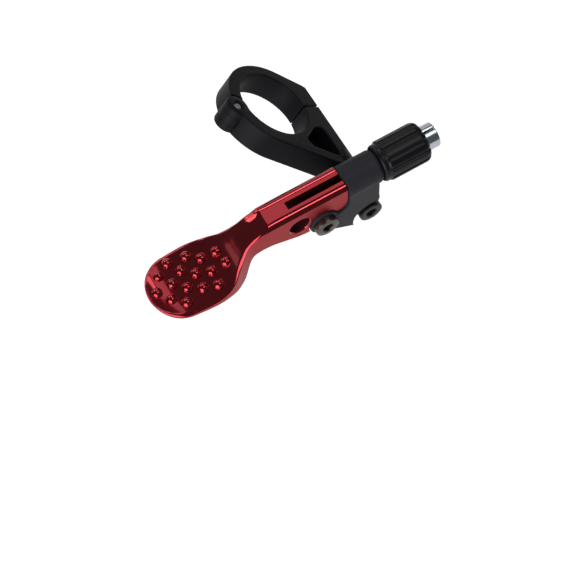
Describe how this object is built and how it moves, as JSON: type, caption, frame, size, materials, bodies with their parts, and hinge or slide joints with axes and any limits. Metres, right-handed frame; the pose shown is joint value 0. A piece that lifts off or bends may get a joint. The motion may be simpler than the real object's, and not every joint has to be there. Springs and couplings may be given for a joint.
{
  "type": "dropper post remote lever",
  "caption": "Thumb lever with a domed paddle on a pivot, a barrel cable adjuster and a hinged handlebar clamp, for a dropper seatpost.",
  "frame": {"origin": "centre of the handlebar bore, in the middle of the clamp's width", "axes": "+X along the cable from the thumb paddle to the adjuster, which is the longest way; +Y from the lever to the clamp ring, along the pivot's axis; +Z out of the thumb face. The handlebar runs in the XZ plane at 51 degrees from +X"},
  "size_m": [0.0896, 0.0581, 0.0277],
  "materials": {
    "red_anodised": "glossy red anodised",
    "black_anodised": "satin black anodised",
    "black_knob": "moulded, fluted",
    "bright_steel": "turned and polished",
    "grey_steel": "dark zinc plated",
    "black_steel": "black oxide",
    "brass": "turned",
    "rubber": "smooth"
  },
  "bodies": {
    "clamp": {"clamp_arm": "black_anodised", "clamp_hinge_pin": "bright_steel", "mount_screw": "black_steel", "mount_washer": "black_steel"},
    "cap": {"clamp_cap": "black_anodised"},
    "clamp_bolt": {"clamp_screw": "black_steel", "clamp_washer": "black_steel"},
    "body": {"lever_body": "black_anodised", "pivot_bolt": "grey_steel", "pivot_nut": "grey_steel", "pivot_sleeve": "grey_steel", "adjuster_key_pin": "bright_steel", "adjuster_snap_ring": "bright_steel", "adjuster_o_ring": "rubber"},
    "lever": {"lever_blade": "red_anodised", "pivot_bush_near": "brass", "pivot_bush_far": "brass"},
    "knob": {"adjuster_knob": "black_knob", "adjuster_thread_insert": "brass"},
    "barrel": {"adjuster_barrel": "bright_steel"}
  },
  "joints": [
    {"name": "lever_pivot", "type": "hinge", "parent": "body", "child": "lever", "pos_m": [-0.00404, -0.0333, 0.00033], "axis": [0, -1, 0], "range_deg": [0, 32]},
    {"name": "body_swivel", "type": "hinge", "parent": "clamp", "child": "body", "pos_m": [0.01096, -0.0333, -0.00887], "axis": [0, -1, 0], "range_deg": [-15, 15]},
    {"name": "knob_turn", "type": "hinge", "parent": "body", "child": "knob", "pos_m": [0.02296, -0.0333, 0.00763], "axis": [-1, 0, 0], "range_deg": [0, 1351]},
    {"name": "barrel_slide", "type": "slide", "parent": "body", "child": "barrel", "axis": [1, 0, 0], "range_m": [0, 0.003]},
    {"name": "clamp_screw_slide", "type": "slide", "parent": "clamp", "child": "clamp_bolt", "axis": [0, 1, 0], "range_m": [0, 0.0018]},
    {"name": "cap_hinge", "type": "hinge", "parent": "clamp", "child": "cap", "pos_m": [-0.01104, 0, 0.00894], "axis": [0.6293, 0, 0.7771], "range_deg": [0, 3.4]}
  ],
  "couplings": [
    {"joint": "knob_turn", "follows": "barrel_slide", "rad_per_m": 7854},
    {"joint": "cap_hinge", "follows": "clamp_screw_slide", "rad_per_m": 31.746}
  ]
}
